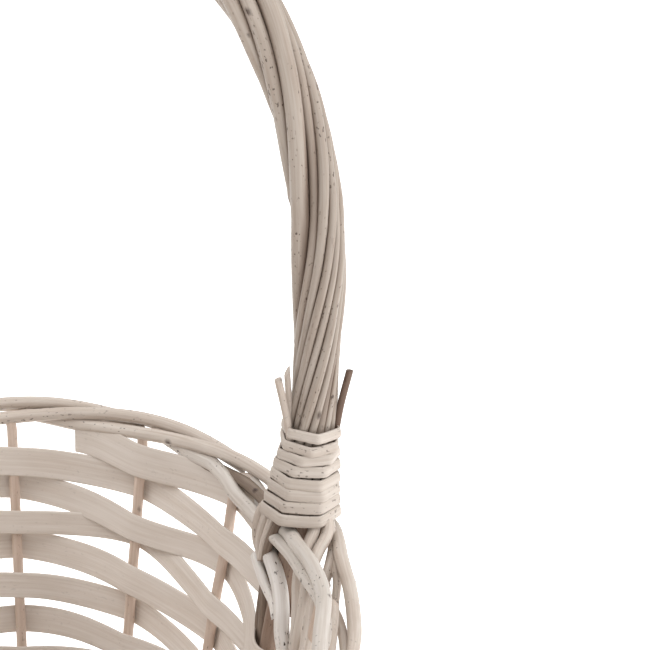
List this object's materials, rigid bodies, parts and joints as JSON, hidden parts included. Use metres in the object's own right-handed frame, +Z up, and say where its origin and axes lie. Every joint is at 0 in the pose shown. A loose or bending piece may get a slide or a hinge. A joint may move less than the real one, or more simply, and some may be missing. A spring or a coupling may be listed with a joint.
{
  "type": "oval wicker basket with hoop handle",
  "caption": "Oval whitewashed wicker basket: flat split strips woven round flared stakes, a roped border, and a fixed roped hoop handle lashed at both feet.",
  "frame": {"origin": "middle of the foot hoop's underside, at the bottom centre of the basket", "axes": "+Z up; X along the long side of the oval; Y across it, and the hoop handle stands in the YZ plane"},
  "size_m": [0.3756, 0.297, 0.4754],
  "materials": {
    "peeled_stake": "matt whitewashed peeled rod, pinkish brown where the wash is thin",
    "split_strip": "matt whitewashed split strip with faint grain",
    "whitewashed_rod": "matt whitewashed round rod with small dark specks and knots",
    "bow_wood": "brown peeled rod, thinly washed",
    "skein": "flat shaved skein, matt whitewash",
    "cut_end": "brown cut rod end, one with its bark on",
    "foot_wood": "half-round split hoop, matt whitewash",
    "base_stick": "matt whitewashed peeled stick"
  },
  "bodies": {
    "root": {"base_row_01": "whitewashed_rod", "base_row_02": "whitewashed_rod", "base_row_03": "whitewashed_rod", "base_row_04": "whitewashed_rod", "base_row_05": "whitewashed_rod", "base_row_06": "whitewashed_rod", "base_row_07": "whitewashed_rod", "base_row_08": "whitewashed_rod", "base_slath": "base_stick", "base_spokes": "base_stick", "foot_hoop": "foot_wood", "handle_bow": "bow_wood", "handle_rod_01": "whitewashed_rod", "handle_rod_02": "whitewashed_rod", "handle_rod_03": "whitewashed_rod", "handle_rod_04": "whitewashed_rod", "handle_rod_05": "whitewashed_rod", "handle_rod_06": "whitewashed_rod", "handle_rod_07": "whitewashed_rod", "handle_rod_08": "whitewashed_rod", "handle_rod_09": "whitewashed_rod", "handle_rod_10": "whitewashed_rod", "handle_rod_11": "whitewashed_rod", "handle_rod_12": "whitewashed_rod", "lashing_back": "skein", "lashing_front": "skein", "packing_strip_back": "split_strip", "packing_strip_front": "split_strip", "stake_01": "peeled_stake", "stake_02": "peeled_stake", "stake_03": "peeled_stake", "stake_04": "peeled_stake", "stake_05": "peeled_stake", "stake_06": "peeled_stake", "stake_07": "peeled_stake", "stake_08": "peeled_stake", "stake_09": "peeled_stake", "stake_10": "peeled_stake", "stake_11": "peeled_stake", "stake_12": "peeled_stake", "stake_13": "peeled_stake", "stake_14": "peeled_stake", "strip_row_01": "split_strip", "strip_row_02": "split_strip", "strip_row_03": "split_strip", "strip_row_04": "split_strip", "strip_row_05": "split_strip", "strip_row_06": "split_strip", "strip_row_07": "split_strip", "trimmed_ends_back": "cut_end", "trimmed_ends_front": "cut_end", "wale_rod_01": "whitewashed_rod", "wale_rod_02": "whitewashed_rod", "wale_rod_03": "whitewashed_rod"}
  },
  "joints": []
}
